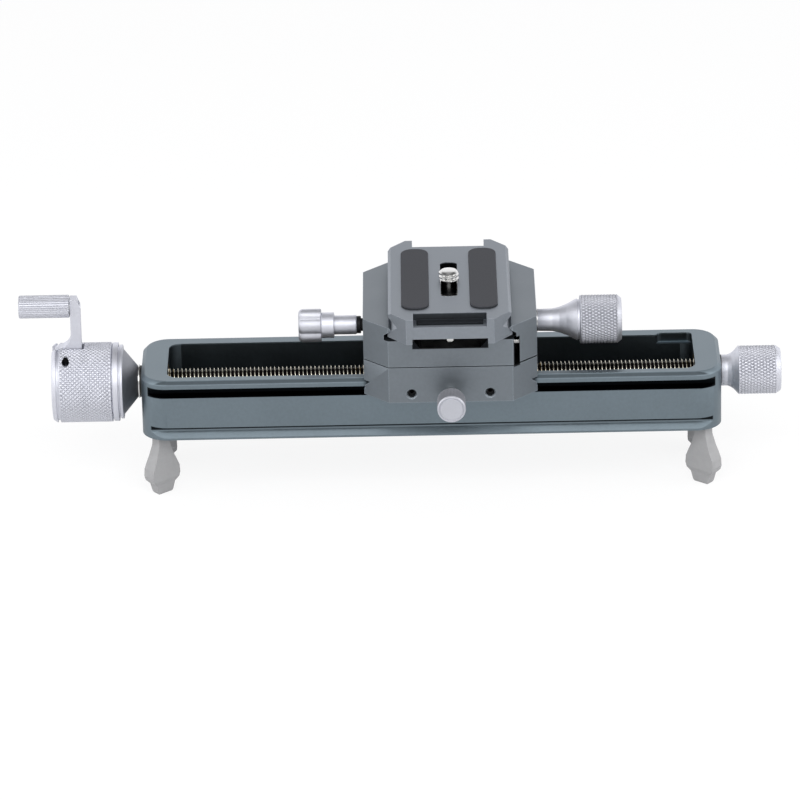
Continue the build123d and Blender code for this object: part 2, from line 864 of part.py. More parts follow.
with BuildPart() as swivel_hub:
    post(hub_flange_radius, block_top - hub_flange, block_top, carriage_x, 0)
    post(hub_radius, block_top, hub_top, carriage_x, 0)
    post(bolt_radius + press_gap, block_top - hub_flange, hub_top, carriage_x, 0, mode=Mode.SUBTRACT)
finish(swivel_hub.part, "swivel_hub")

with BuildPart() as slip_ring:
    with BuildSketch(Plane.XY.offset(slip_seat)):
        with Locations((carriage_x, 0)):
            Circle(slip_outer)
            Circle(slip_inner, mode=Mode.SUBTRACT)
    extrude(amount=slip_top - slip_seat)
finish(slip_ring.part, "slip_ring")

with BuildPart() as hub_washer:
    post(hub_washer_radius, hub_top, hub_washer_top, carriage_x, 0)
    post(bolt_radius + press_gap, hub_top, hub_washer_top, carriage_x, 0, mode=Mode.SUBTRACT)
finish(hub_washer.part, "hub_washer")

with BuildPart() as hub_bolt:
    post(bolt_radius, bolt_bottom, hub_washer_top, carriage_x, 0)
    post(bolt_head_radius, hub_washer_top, bolt_head_top, carriage_x, 0)
    with BuildSketch(Plane.XY.offset(bolt_head_top - bolt_socket_depth)):
        with Locations((carriage_x, 0)):
            RegularPolygon(bolt_socket, 6)
    extrude(amount=bolt_socket_depth, mode=Mode.SUBTRACT)
finish(hub_bolt.part, "hub_bolt")

# ================================================================ carriage lock
with BuildPart() as lock_knob:
    with BuildSketch(Plane(origin=(carriage_x, 0, side_screw_height), x_dir=(1, 0, 0), z_dir=(0, 0, 1))):
        with BuildLine():
            Polyline(
                (0, -lock_face),
                (lock_groove_radius, -lock_face),
                (lock_groove_radius, -lock_face + lock_groove_depth),
                (lock_groove_radius + lock_groove_width, -lock_face + lock_groove_depth),
                (lock_groove_radius + lock_groove_width, -lock_face),
                (lock_radius - 0.3, -lock_face),
                (lock_radius, -lock_face + 0.4),
                (lock_radius, -lock_back - 0.3),
                (lock_radius - 0.3, -lock_back),
                (0, -lock_back),
                close=True,
            )
        make_face()
    revolve(axis=Axis((carriage_x, 0, side_screw_height), (0, 1, 0)))
    cross_bar(lock_stem_radius + press_gap, -lock_back - 5.0, -lock_back, carriage_x,
              side_screw_height, mode=Mode.SUBTRACT)
finish(lock_knob.part, "lock_knob")

with BuildPart() as lock_screw:
    cross_bar(lock_stem_radius, -lock_back - 4.9, -relief_reach - 0.3, carriage_x, side_screw_height)
    cross_bar(lock_tip_radius, -relief_reach - 0.3, -gib_outer - running_fit, carriage_x, side_screw_height)
finish(lock_screw.part, "lock_screw")

# ================================================================ swivelling clamp
with BuildPart() as clamp_base:
    octagon(clamp_bottom, clamp_top)
    with BuildSketch(side_plane(block_half, 0)):
        with BuildLine():
            Polyline(
                (carriage_x - jaw_crown, clamp_top + 1),
                (carriage_x - jaw_crown, clamp_top),
                (carriage_x - jaw_tip, jaw_tip_height),
                (carriage_x - jaw_root, jaw_root_height),
                (carriage_x - jaw_root, clamp_floor),
                (carriage_x - channel_half_top, clamp_floor),
                (carriage_x - channel_half_bottom, channel_floor),
                (carriage_x + channel_half_bottom, channel_floor),
                (carriage_x + channel_half_top, clamp_floor),
                (carriage_x + jaw_side, clamp_floor),
                (carriage_x + jaw_side, clamp_bottom - 1),
                (carriage_x + block_size, clamp_bottom - 1),
                (carriage_x + block_size, clamp_top + 1),
                close=True,
            )
        make_face()
    extrude(amount=block_size, mode=Mode.SUBTRACT)
    # bearing on the hub and recess for its washer
    post(hub_radius + running_fit, clamp_bottom, channel_floor, carriage_x, 0, mode=Mode.SUBTRACT)
    post(hub_washer_radius + 0.1, hub_top - running_fit, channel_floor, carriage_x, 0, mode=Mode.SUBTRACT)
    # swivel lock screw from the left, clamp screw and guide pins from the right
    rod(wing_screw_radius + running_fit, block_left, shoe_start,
        0, wing_height, mode=Mode.SUBTRACT)
    rod(shoe_radius + running_fit, shoe_start, carriage_x - hub_radius / 2,
        0, wing_height, mode=Mode.SUBTRACT)
    rod(clamp_screw_radius + running_fit, clamp_screw_start - free_gap, carriage_x + jaw_side,
        0, clamp_screw_height, mode=Mode.SUBTRACT)
    for y in (-guide_pin_y, guide_pin_y):
        rod(guide_pin_radius + press_gap, guide_pin_start, carriage_x + jaw_side,
            y, clamp_screw_height, mode=Mode.SUBTRACT)
finish(clamp_base.part, "clamp_base")

with BuildPart() as jaw_guide_pins:
    for y in (-guide_pin_y, guide_pin_y):
        rod(guide_pin_radius, guide_pin_start, guide_pin_end, y, clamp_screw_height)
finish(jaw_guide_pins.part, "jaw_guide_pins")

with BuildPart() as swivel_shoe:
    rod(shoe_radius, shoe_start, shoe_end, 0, wing_height)
finish(swivel_shoe.part, "swivel_shoe")

with BuildPart() as moving_jaw:
    octagon(jaw_bottom, clamp_top)
    with BuildSketch(side_plane(block_half, 0)):
        with BuildLine():
            Polyline(
                (carriage_x + jaw_inner, jaw_bottom),
                (carriage_x + jaw_inner, jaw_shelf),
                (carriage_x + jaw_root, jaw_shelf),
                (carriage_x + jaw_root, jaw_root_height),
                (carriage_x + jaw_tip, jaw_tip_height),
                (carriage_x + jaw_crown, clamp_top),
                (block_right, clamp_top),
                (block_right, jaw_bottom),
                close=True,
            )
        make_face()
    extrude(amount=block_size, mode=Mode.INTERSECT)
    rod(clamp_screw_radius + running_fit, carriage_x + jaw_inner, block_right,
        0, clamp_screw_height, mode=Mode.SUBTRACT)
    for y in (-guide_pin_y, guide_pin_y):
        rod(guide_pin_radius + running_fit, carriage_x + jaw_inner, guide_pin_end + 0.3,
            y, clamp_screw_height, mode=Mode.SUBTRACT)
finish(moving_jaw.part, "moving_jaw")

with BuildPart() as jaw_washer:
    rod(jaw_washer_radius, block_right, clamp_knob_start - running_fit, 0, clamp_screw_height)
    rod(clamp_screw_radius + running_fit, block_right, clamp_knob_start,
        0, clamp_screw_height, mode=Mode.SUBTRACT)
finish(jaw_washer.part, "jaw_washer")

with BuildPart() as clamp_knob:
    turned(
        [
            (clamp_knob_start, 0),
            (clamp_knob_start, clamp_neck_radius),
            (clamp_neck_end, clamp_neck_radius + 0.1),
            (clamp_neck_end + 0.286 * clamp_flare_length, clamp_neck_radius + 0.55),
            (clamp_neck_end + 0.571 * clamp_flare_length, clamp_neck_radius + 1.4),
            (clamp_groove_start, clamp_flare_radius),
            (clamp_groove_start, clamp_groove_radius),
            (clamp_knurl_start, clamp_groove_radius),
            (clamp_knurl_start, clamp_knob_radius - 0.3),
            (clamp_knurl_start + 0.3, clamp_knob_radius),
            (clamp_knurl_end, clamp_knob_radius),
            (clamp_knob_end, clamp_knob_radius - clamp_chamfer_depth),
            (clamp_knob_end, 0),
        ],
        0,
        clamp_screw_height,
    )
    rod(clamp_screw_radius + press_gap, clamp_knob_start, clamp_screw_end + free_gap,
        0, clamp_screw_height, mode=Mode.SUBTRACT)
finish(clamp_knob.part, "clamp_knob")

with BuildPart() as clamp_screw:
    rod(clamp_screw_radius, clamp_screw_start, clamp_screw_end, 0, clamp_screw_height)
    chamfer(edges().group_by(Axis.X)[0], length=0.5)
finish(clamp_screw.part, "clamp_screw")

# ================================================================ swivel lock
with BuildPart() as wing_knob:
    with BuildSketch(end_plane(wing_start, 0, wing_height)):
        Circle(wing_waist)
        SlotOverall(2 * wing_reach, 2 * wing_lobe, rotation=90 - wing_turn)
    extrude(amount=wing_end - wing_start)
    chamfer(edges().group_by(Axis.X)[0], length=0.4)
    chamfer(edges().group_by(Axis.X)[-1], length=0.3)
    rod(barrel_radius, wing_end, barrel_end, 0, wing_height)
    rod(wing_screw_radius + press_gap, wing_screw_start - free_gap, barrel_end,
        0, wing_height, mode=Mode.SUBTRACT)
finish(wing_knob.part, "wing_knob")

with BuildPart() as wing_collar:
    rod(collar_radius, barrel_end, collar_end, 0, wing_height)
    rod(wing_screw_radius + press_gap, barrel_end, collar_end, 0, wing_height, mode=Mode.SUBTRACT)
    chamfer(edges().filter_by(GeomType.CIRCLE).group_by(Axis.X)[-1].sort_by(SortBy.RADIUS)[-1], length=0.25)
finish(wing_collar.part, "wing_collar")

with BuildPart() as wing_o_ring:
    rod(o_ring_radius, collar_end, o_ring_end, 0, wing_height)
    rod(wing_screw_radius + press_gap, collar_end, o_ring_end, 0, wing_height, mode=Mode.SUBTRACT)
    fillet(edges().filter_by(GeomType.CIRCLE).sort_by(SortBy.RADIUS)[-2:], radius=0.25)
finish(wing_o_ring.part, "wing_o_ring")

with BuildPart() as wing_screw:
    rod(wing_screw_radius, wing_screw_start, shoe_start - running_fit, 0, wing_height)
finish(wing_screw.part, "wing_screw")

# ================================================================ camera plate
with BuildPart() as camera_plate:
    with BuildSketch(side_plane(half_plate, 0)):
        with BuildLine():
            Polyline(
                (carriage_x - plate_crown, plate_top),
                (carriage_x - plate_shoulder, plate_top - plate_edge_bevel),
                (carriage_x - plate_shoulder, plate_shoulder_low),
                (carriage_x - plate_waist, plate_waist_height),
                (carriage_x - plate_flange, plate_flange_top),
                (carriage_x - plate_flange, plate_bottom),
                (carriage_x - under_half, plate_bottom),
                (carriage_x - under_half, under_roof),
                (carriage_x + under_half, under_roof),
                (carriage_x + under_half, plate_bottom),
                (carriage_x + plate_flange, plate_bottom),
                (carriage_x + plate_flange, plate_flange_top),
                (carriage_x + plate_waist, plate_waist_height),
                (carriage_x + plate_shoulder, plate_shoulder_low),
                (carriage_x + plate_shoulder, plate_top - plate_edge_bevel),
                (carriage_x + plate_crown, plate_top),
                close=True,
            )
        make_face()
    extrude(amount=plate_length)
    # cut corners in plan
    for sx in (-1, 1):
        for sy in (-1, 1):
            with BuildSketch(Plane.XY.offset(plate_bottom)):
                with BuildLine():
                    Polyline(
                        (carriage_x + sx * plate_flange, sy * (half_plate - plate_corner_y)),
                        (carriage_x + sx * (plate_flange - plate_corner_x), sy * half_plate),
                        (carriage_x + sx * (plate_flange + 2), sy * (half_plate + 2)),
                        close=True,
                    )
                make_face()
            extrude(amount=plate_top - plate_bottom, mode=Mode.SUBTRACT)
    # end notches, each with a ledge and a slot behind it
    for sy in (-1, 1):
        wall, inner, outer = sorted((sy * notch_wall, sy * ledge_inner, sy * half_plate), key=abs)
        block(carriage_x - notch_half, carriage_x + notch_half, min(wall, outer), max(wall, outer),
              ledge_top, plate_top, mode=Mode.SUBTRACT)
        back = wall - sy * ledge_undercut
        block(carriage_x - ledge_slot_half, carriage_x + ledge_slot_half, min(wall, inner), max(wall, inner),
              ledge_slot_floor, ledge_top, mode=Mode.SUBTRACT)
        block(carriage_x - ledge_slot_half, carriage_x + ledge_slot_half, min(back, wall), max(back, wall),
              ledge_slot_floor, ledge_top + ledge_undercut_height, mode=Mode.SUBTRACT)
    # slot for the camera screw and pocket for its head
    with BuildSketch(Plane.XY.offset(head_pocket_roof)):
        with Locations((carriage_x, 0)):
            RectangleRounded(2 * screw_slot_half, screw_slot_length, screw_slot_corner)
    extrude(amount=plate_top - head_pocket_roof, mode=Mode.SUBTRACT)
    with BuildSketch(Plane.XY.offset(under_roof)):
        with Locations((carriage_x, 0)):
            RectangleRounded(2 * head_pocket_half, head_pocket_length, head_pocket_corner)
    extrude(amount=head_pocket_roof - under_roof, mode=Mode.SUBTRACT)
    # seats for the two rubber pads
    for side in (-1, 1):
        with BuildSketch(Plane.XY.offset(plate_top - pad_seat)):
            with Locations((carriage_x + side * pad_offset, 0)):
                RectangleRounded(pad_width + 2 * press_gap, pad_length + 2 * press_gap, pad_corner)
        extrude(amount=pad_seat, mode=Mode.SUBTRACT)
    for y in (-stop_pin_y, stop_pin_y):
        post(stop_stud_radius, under_roof, under_roof + stop_stud_length + 0.1, carriage_x, y,
             mode=Mode.SUBTRACT)
finish(camera_plate.part, "camera_plate")


def rubber_pad(x):
    """Rubber strip with rounded ends, let into the top of the plate."""
    with BuildSketch(Plane.XY.offset(plate_top - pad_seat)) as outline:
        with Locations((x, 0)):
            RectangleRounded(pad_width, pad_length, pad_corner)
    extrude(outline.sketch, amount=pad_seat + pad_proud)


with BuildPart() as pad_left:
    rubber_pad(carriage_x - pad_offset)
    fillet(faces().sort_by(Axis.Z)[-1].edges(), radius=pad_edge)
finish(pad_left.part, "pad_left")

with BuildPart() as pad_right:
    rubber_pad(carriage_x + pad_offset)
    fillet(faces().sort_by(Axis.Z)[-1].edges(), radius=pad_edge)
finish(pad_right.part, "pad_right")

with BuildPart() as plate_stop_pins:
    for y in (-stop_pin_y, stop_pin_y):
        post(stop_stud_radius - press_gap, under_roof, under_roof + stop_stud_length, carriage_x, y)
        post(stop_pin_radius, stop_pin_bottom, under_roof, carriage_x, y)
    fillet(edges().filter_by(GeomType.CIRCLE).group_by(Axis.Z)[0], radius=stop_pin_round)
finish(plate_stop_pins.part, "plate_stop_pins")

# ================================================================ camera screw
with BuildPart() as camera_screw:
    post(camera_head_radius, camera_head_bottom, camera_head_top, carriage_x, 0)
    post(camera_neck_radius, camera_head_top, camera_thread_start, carriage_x, 0)
    post(camera_thread_radius, camera_thread_start, camera_thread_top, carriage_x, 0)
    chamfer(edges().group_by(Axis.Z)[-1], length=camera_tip_bevel)
finish(camera_screw.part, "camera_screw")

with BuildPart() as screw_d_ring:
    with BuildSketch(Plane.XY.offset(camera_head_bottom - d_ring_thickness)):
        with Locations((carriage_x, 0)):
            Circle(d_ring_outer)
            Circle(d_ring_inner, mode=Mode.SUBTRACT)
            Rectangle(2 * d_ring_outer - 0.8, d_ring_bar)
    extrude(amount=d_ring_thickness)
finish(screw_d_ring.part, "screw_d_ring")


# ================================================================ feet
def screw_foot(x, y, turn):
    """Thumb-screw shaped foot: a blade with two tapering outlines and a stud on top."""
    blade = (math.cos(turn), math.sin(turn), 0)
    front = (math.sin(turn), -math.cos(turn), 0)
    back = (-math.sin(turn), math.cos(turn), 0)
    across = Plane(origin=(x, y, 0), x_dir=blade, z_dir=front)
    along = Plane(origin=(x, y, 0), x_dir=back, z_dir=blade)
    with BuildSketch(across) as outline:
        with BuildLine():
            Polyline(*foot_front, *[(-u, v) for u, v in reversed(foot_front)], close=True)
        make_face()
    extrude(outline.sketch, amount=foot_blank_half, both=True)
    with BuildSketch(along) as outline:
        with BuildLine():
            Polyline(*foot_side, *[(-u, v) for u, v in reversed(foot_side)], close=True)
        make_face()
    extrude(outline.sketch, amount=foot_blank_half, both=True, mode=Mode.INTERSECT)
    post(foot_stud_radius, -1.0, foot_stud_length, x, y)


front_turn = math.radians(front_foot_turn)
rear_turn = math.radians(rear_foot_turn)
with BuildPart() as foot_front_left:
    screw_foot(-foot_x, -foot_y, front_turn)
finish(foot_front_left.part, "foot_front_left")

with BuildPart() as foot_front_right:
    screw_foot(foot_x, -foot_y, -front_turn)
finish(foot_front_right.part, "foot_front_right")

with BuildPart() as foot_rear_left:
    screw_foot(-foot_x, foot_y, -rear_turn)
finish(foot_rear_left.part, "foot_rear_left")

with BuildPart() as foot_rear_right:
    screw_foot(foot_x, foot_y, rear_turn)
finish(foot_rear_right.part, "foot_rear_right")
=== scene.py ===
import json
import math

import bmesh
import bpy
from mathutils import Matrix, Vector


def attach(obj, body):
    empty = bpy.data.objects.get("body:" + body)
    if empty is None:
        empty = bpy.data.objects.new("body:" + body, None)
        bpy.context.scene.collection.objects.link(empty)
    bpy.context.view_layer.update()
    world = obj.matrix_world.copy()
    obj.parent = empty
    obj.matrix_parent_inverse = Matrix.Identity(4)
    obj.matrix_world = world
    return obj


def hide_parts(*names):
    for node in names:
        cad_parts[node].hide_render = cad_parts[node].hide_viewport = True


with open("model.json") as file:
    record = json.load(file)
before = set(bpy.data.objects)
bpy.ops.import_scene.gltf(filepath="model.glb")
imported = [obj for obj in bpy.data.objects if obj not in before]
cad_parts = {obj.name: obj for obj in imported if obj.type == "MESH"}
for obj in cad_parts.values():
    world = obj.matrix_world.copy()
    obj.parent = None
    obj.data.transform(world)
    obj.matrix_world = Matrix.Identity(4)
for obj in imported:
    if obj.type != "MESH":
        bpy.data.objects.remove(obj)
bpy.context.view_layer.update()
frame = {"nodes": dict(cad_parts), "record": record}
nodes = frame["nodes"]
scene = bpy.context.scene
MM = 0.001
TURN = 2 * math.pi

# Places on the part in millimetres, in the frame's axes.
SCREW_Z = 12.5
LOCK_Z = 17.85
WING_Z = 30.1
CLAMP_SCREW_Z = 30.5
HANDLE_Z = 38.1
CARRIAGE_X = 6.0
# pivot pin of the crank
PIN_X = -112.75
PIN_Z = SCREW_Z + 9.8
# further than any piece reaches
ALL = 400.0


# ---------------------------------------------------------------- mesh helpers
def mesh_object(name, verts, faces, smooth=True):
    """New object from points in millimetres."""
    mesh = bpy.data.meshes.new(name)
    mesh.from_pydata([(x * MM, y * MM, z * MM) for x, y, z in verts], [], faces)
    mesh.update()
    if smooth:
        mesh.shade_smooth()
    obj = bpy.data.objects.new(name, mesh)
    scene.collection.objects.link(obj)
    return obj


def fix_normals(obj):
    """Make every face point outwards."""
    shape = bmesh.new()
    shape.from_mesh(obj.data)
    bmesh.ops.recalc_face_normals(shape, faces=shape.faces)
    shape.to_mesh(obj.data)
    shape.free()
    return obj


def sharp_by_angle(obj, angle):
    """Smooth shading with hard edges where faces meet at more than the angle."""
    shape = bmesh.new()
    shape.from_mesh(obj.data)
    limit = math.radians(angle)
    for edge in shape.edges:
        if len(edge.link_faces) == 2:
            edge.smooth = edge.calc_face_angle(0.0) < limit
    for face in shape.faces:
        face.smooth = True
    shape.to_mesh(obj.data)
    shape.free()
    return obj


def softened(profile, size):
    """Cut each corner of an open (x, r) profile by a small rounded bevel."""
    out = [profile[0]]
    for before, corner, after in zip(profile, profile[1:], profile[2:]):
        a = Vector(before) - Vector(corner)
        b = Vector(after) - Vector(corner)
        cut_back = min(size, a.length * 0.45, b.length * 0.45)
        if cut_back < 1e-4:
            out.append(corner)
            continue
        p = Vector(corner) + a.normalized() * cut_back
        q = Vector(corner) + b.normalized() * cut_back
        mid = (p + q) / 4 + Vector(corner) / 2
        out += [tuple(p), tuple(mid), tuple(q)]
    out.append(profile[-1])
    return out


def ringed(name, rows, close):
    """Skin a stack of point rings, closed at both ends or into a tube."""
    size = len(rows[0])
    verts = [point for row in rows for point in row]
    faces = []
    count = len(rows)
    for i in range(count if close else count - 1):
        j = (i + 1) % count
        for k in range(size):
            m = (k + 1) % size
            faces.append((i * size + k, i * size + m, j * size + m, j * size + k))
    if not close:
        faces.append(tuple(range(size)))
        faces.append(tuple(range((count - 1) * size, count * size)))
    return fix_normals(mesh_object(name, verts, faces))


def lathe(name, profile, centre, segments, radius_at=None, close=False, axis="X", full=0.3):
    """Turn an (along, radius) profile about an axis through a centre (the two other coordinates).

    The groove attribute tells the finish how deep a point lies under the profile, 1 at the depth full.
    """
    rows = []
    depths = []
    for along, r in profile:
        row = []
        for k in range(segments):
            a = TURN * k / segments
            rr = radius_at(along, r, a) if radius_at else r
            depths.append(min(1.0, (r - rr) / full))
            u = rr * math.cos(a)
            v = rr * math.sin(a)
            if axis == "X":
                row.append((along, centre[0] - u, centre[1] + v))
            elif axis == "Y":
                row.append((centre[0] + u, along, centre[1] + v))
            else:
                row.append((centre[0] + u, centre[1] + v, along))
        rows.append(row)
    obj = ringed(name, rows, close)
    groove = obj.data.attributes.new("groove", "FLOAT", "POINT")
    groove.data.foreach_set("value", depths)
    return obj


# length over which a knurl grows to its full depth at each end
KNURL_FADE = 0.3


def wave(t):
    """Triangle wave between 0 and 1."""
    t = t % 1.0
    return 2 * t if t < 0.5 else 2 - 2 * t


def knurled(x0, x1, radius, starts, depth, step, slope, flat, dots=False):
    """Rows of a lathe profile and the radius function of a knurl between x0 and x1.

    Two sets of grooves cross at the slope into diamonds, flat on top above the share flat of their
    height. With dots a third set, round the knob, cuts them into shorter cells.
    """
    count = max(2, int(round((x1 - x0) / step)))
    rows = [(x0 + (x1 - x0) * i / count, radius) for i in range(count + 1)]
    pitch = TURN * radius / starts * slope

    def radius_at(x, r, a):
        if r < radius - 1e-6 or x < x0 - 1e-6 or x > x1 + 1e-6:
            return r
        fade = min(1.0, (x - x0) / KNURL_FADE, (x1 - x) / KNURL_FADE)
        turn = starts * a / TURN
        high = min(wave(turn + x / pitch), wave(turn - x / pitch))
        if dots:
            high = min(high, 1.2 - wave(2 * x / pitch))
        return r - depth * fade * (1 - min(1.0, high / flat))

    return rows, radius_at


def cut(obj, cutters):
    """Subtract closed helper meshes from a closed mesh."""
    for cutter in cutters:
        modifier = obj.modifiers.new("cut", "BOOLEAN")
        modifier.operation = "DIFFERENCE"
        modifier.solver = "MANIFOLD"
        modifier.object = cutter
    bpy.context.view_layer.update()
    graph = bpy.context.evaluated_depsgraph_get()
    mesh = bpy.data.meshes.new_from_object(obj.evaluated_get(graph))
    obj.modifiers.clear()
    obj.data = mesh
    for cutter in cutters:
        bpy.data.objects.remove(cutter)


def box_mesh(x0, x1, y0, y1, z0, z1):
    """Closed box between two corners, as a helper mesh."""
    verts = [(x, y, z) for x in (x0, x1) for y in (y0, y1) for z in (z0, z1)]
    faces = [(0, 1, 3, 2), (4, 6, 7, 5), (0, 4, 5, 1), (2, 3, 7, 6), (0, 2, 6, 4), (1, 5, 7, 3)]
    return fix_normals(mesh_object("helper", verts, faces, smooth=False))


def rod_mesh(start, end, radius):
    """Closed cylinder between two points, as a helper mesh."""
    segments = 48
    turns = [TURN * k / segments for k in range(segments)]
    a = Vector(start)
    b = Vector(end)
    axis = (b - a).normalized()
    side = axis.orthogonal().normalized()
    up = axis.cross(side)
    rows = []
    for p in (a, b):
        rows.append([tuple(p + side * radius * math.cos(t) + up * radius * math.sin(t)) for t in turns])
    return ringed("helper", rows, False)


# ---------------------------------------------------------------- finishes
# how far the edge of a box of painted shade is blurred to either side
RECESS_EDGE = 0.12


class Finish:
    """Procedural finish: fine grain in the relief, uneven gloss, slightly uneven colour, painted shade in
    recesses, painted highlights on edges and painted dark reflections.
    """

    def __init__(self, name, colour, metallic, roughness, specular):
        self.material = bpy.data.materials.new(name)
        self.material.use_nodes = True
        self.tree = self.material.node_tree
        self.shader = self.tree.nodes["Principled BSDF"]
        self.shader.inputs["Metallic"].default_value = metallic
        self.shader.inputs["Specular IOR Level"].default_value = specular
        self.place = self.tree.nodes.new("ShaderNodeTexCoord").outputs["Object"]
        self.colour = None
        self.base = colour
        self.normal = None
        self.roughness = roughness

    def node(self, kind, **values):
        made = self.tree.nodes.new(kind)
        for key, value in values.items():
            setattr(made, key, value)
        return made

    def link(self, source, target):
        self.tree.links.new(source, target)

    def math(self, operation, a, b=None):
        made = self.node("ShaderNodeMath", operation=operation)
        for index, value in enumerate((a, b)):
            if value is None:
                continue
            if isinstance(value, (int, float)):
                made.inputs[index].default_value = value
            else:
                self.link(value, made.inputs[index])
        return made.outputs["Value"]

    def noise(self, scale, detail, rough=0.5, stretch=None):
        source = self.place
        if stretch:
            mapping = self.node("ShaderNodeMapping")
            mapping.inputs["Scale"].default_value = stretch
            self.link(source, mapping.inputs["Vector"])
            source = mapping.outputs["Vector"]
        made = self.node("ShaderNodeTexNoise")
        made.inputs["Scale"].default_value = scale
        made.inputs["Detail"].default_value = detail
        made.inputs["Roughness"].default_value = rough
        self.link(source, made.inputs["Vector"])
        return made.outputs["Fac"]

    def blend(self, factor, a, b):
        """Colour between a and b; each is a colour or a socket."""
        made = self.node("ShaderNodeMix", data_type="RGBA")
        self.link(factor, made.inputs["Factor"])
        for key, value in (("A", a), ("B", b)):
            if isinstance(value, tuple):
                made.inputs[key].default_value = (*value, 1)
            else:
                self.link(value, made.inputs[key])
        return made.outputs["Result"]

    def spread(self, value, low, high, to_low, to_high):
        made = self.node("ShaderNodeMapRange")
        made.inputs["From Min"].default_value = low
        made.inputs["From Max"].default_value = high
        made.inputs["To Min"].default_value = to_low
        made.inputs["To Max"].default_value = to_high
        self.link(value, made.inputs["Value"])
        return made.outputs["Result"]

    def bump(self, height, depth):
        """Relief on top of the relief so far; the depth is in millimetres."""
        made = self.node("ShaderNodeBump")
        made.inputs["Strength"].default_value = 0.6
        made.inputs["Distance"].default_value = depth * MM
        self.link(height, made.inputs["Height"])
        if self.normal is not None:
            self.link(self.normal, made.inputs["Normal"])
        self.normal = made.outputs["Normal"]

    def grain(self, scale, depth, tint=0.05, spread=0.06):
        """Fine random texture in colour, gloss and relief, over a broad one in colour and gloss."""
        fine = self.noise(scale, 5.0, 0.65)
        wide = self.noise(70.0, 3.0)
        both = self.math("ADD", self.math("MULTIPLY", fine, 0.6), self.math("MULTIPLY", wide, 0.4))
        level = self.spread(both, 0.35, 0.65, 0.0, 1.0)
        dark = tuple(c * (1 - tint) for c in self.base)
        pale = tuple(min(1.0, c * (1 + tint)) for c in self.base)
        self.colour = self.blend(level, dark, pale)
        gloss = self.spread(both, 0.3, 0.7, self.roughness - spread, self.roughness + spread)
        self.link(gloss, self.shader.inputs["Roughness"])
        self.bump(fine, depth)

    def brushed(self, stretch, depth):
        """Tool marks along one direction."""
        self.bump(self.noise(1.0, 3.0, 0.5, stretch), depth)

    def inside(self, low, high):
        """1 inside the box between two corners in millimetres, 0 outside."""
        centre = [(a + b) / 2 * MM for a, b in zip(low, high)]
        half = [(b - a) / 2 * MM for a, b in zip(low, high)]
        moved = self.node("ShaderNodeVectorMath", operation="SUBTRACT")
        self.link(self.place, moved.inputs[0])
        moved.inputs[1].default_value = centre
        size = self.node("ShaderNodeVectorMath", operation="ABSOLUTE")
        self.link(moved.outputs["Vector"], size.inputs[0])
        over = self.node("ShaderNodeVectorMath", operation="SUBTRACT")
        self.link(size.outputs["Vector"], over.inputs[0])
        over.inputs[1].default_value = half
        parts = self.node("ShaderNodeSeparateXYZ")
        self.link(over.outputs["Vector"], parts.inputs["Vector"])
        worst = self.math("MAXIMUM", parts.outputs["Y"], parts.outputs["Z"])
        worst = self.math("MAXIMUM", parts.outputs["X"], worst)
        return self.spread(worst, -RECESS_EDGE * MM, RECESS_EDGE * MM, 1.0, 0.0)

    def painted_shade(self, boxes, dark):
        """Painted shade: a darker colour inside boxes, in recesses and on sides that get less light."""
        total = None
        for low, high, strength in boxes:
            mask = self.math("MULTIPLY", self.inside(low, high), strength)
            total = mask if total is None else self.math("MAXIMUM", total, mask)
        self.colour = self.blend(total, self.colour, dark)

    def shade_thread_root(self, centre, inner, outer, dark):
        """Painted shade: darker towards the root of a thread about an axis along X."""
        moved = self.node("ShaderNodeVectorMath", operation="SUBTRACT")
        self.link(self.place, moved.inputs[0])
        moved.inputs[1].default_value = (0, centre[0] * MM, centre[1] * MM)
        flat = self.node("ShaderNodeVectorMath", operation="MULTIPLY")
        self.link(moved.outputs["Vector"], flat.inputs[0])
        flat.inputs[1].default_value = (0, 1, 1)
        length = self.node("ShaderNodeVectorMath", operation="LENGTH")
        self.link(flat.outputs["Vector"], length.inputs[0])
        level = self.spread(length.outputs["Value"], inner * MM, outer * MM, 0.0, 1.0)
        self.colour = self.blend(level, dark, self.colour)

    def shade_grooves(self, dark, strength):
        """Painted shade: darker where the mesh says that a knurl or flute is deep."""
        depth = self.node("ShaderNodeAttribute", attribute_name="groove").outputs["Fac"]
        self.colour = self.blend(self.math("MULTIPLY", depth, strength), self.colour, dark)

    def edge_highlight(self, radius, gain):
        """Painted highlight: paler along the edges."""
        soft = self.node("ShaderNodeBevel", samples=4)
        soft.inputs["Radius"].default_value = radius * MM
        flat = self.node("ShaderNodeNewGeometry")
        dot = self.node("ShaderNodeVectorMath", operation="DOT_PRODUCT")
        self.link(soft.outputs["Normal"], dot.inputs[0])
        self.link(flat.outputs["Normal"], dot.inputs[1])
        level = self.spread(dot.outputs["Value"], 0.995, 0.93, 0.0, 1.0)
        pale = tuple(min(1.0, c * gain) for c in self.base)
        self.colour = self.blend(level, self.colour, pale)

    def dark_reflection_line(self, height, width, dark, strength):
        """Painted dark reflection: a dark line along a round bar where its surface faces up to the front at
        one angle.
        """
        angle = math.radians(height)
        flat = self.node("ShaderNodeNewGeometry")
        dot = self.node("ShaderNodeVectorMath", operation="DOT_PRODUCT")
        self.link(flat.outputs["Normal"], dot.inputs[0])
        dot.inputs[1].default_value = (0, math.sin(angle), math.cos(angle))
        level = self.spread(self.math("ABSOLUTE", dot.outputs["Value"]), width, width * 0.4, 0.0, strength)
        self.colour = self.blend(level, self.colour, dark)

    def done(self):
        self.link(self.colour, self.shader.inputs["Base Color"])
        if self.normal is not None:
            self.link(self.normal, self.shader.inputs["Normal"])
        return self.material


# boxes of painted shade, as (low corner, high corner, strength)
def both_sides(y0, y1, z0, z1, strength):
    """A box of painted shade along each long side of the rail, between two distances from its middle."""
    return [((-ALL, -y1, z0), (ALL, -y0, z1), strength), ((-ALL, y0, z0), (ALL, y1, z1), strength)]


def at_carriage(reach, y0, y1, z0, z1, strength):
    """A box of painted shade that reaches as far to the left and right of the carriage's middle."""
    return (CARRIAGE_X - reach, y0, z0), (CARRIAGE_X + reach, y1, z1), strength


